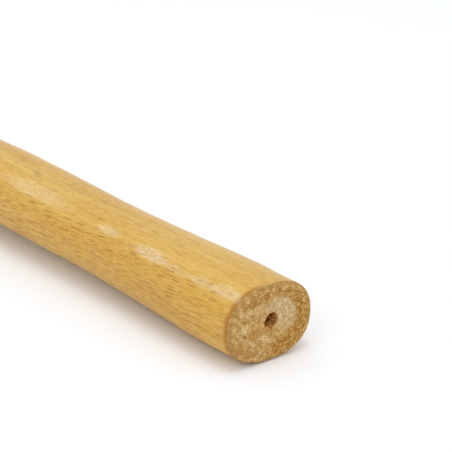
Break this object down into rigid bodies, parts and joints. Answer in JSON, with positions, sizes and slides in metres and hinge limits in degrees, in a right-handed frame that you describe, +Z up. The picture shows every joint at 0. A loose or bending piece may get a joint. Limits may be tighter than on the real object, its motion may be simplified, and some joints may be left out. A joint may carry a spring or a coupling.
{
  "type": "muddler",
  "caption": "Wooden muddler lying on its side: an oval lacquered beech grip, tenoned and pinned into a nearly round bare beech crushing head.",
  "frame": {"origin": "middle of the underside of the object's box, as it lies on its side on a flat surface", "axes": "+X from the crushing head towards the grip's butt, +Y across the grip's width, +Z up; the long axis slopes down by 1.18 degrees from the head to the butt, because the head is fatter than the butt"},
  "size_m": [0.2604, 0.0378, 0.0349],
  "materials": {
    "lacquered_beech": "clear gloss lacquer, bare end grain at the butt",
    "bare_beech": "sanded and oiled, no lacquer",
    "dowel_beech": "sanded end grain"
  },
  "bodies": {
    "root": {"handle": "lacquered_beech", "head": "bare_beech", "cross_pin": "dowel_beech"}
  },
  "joints": []
}
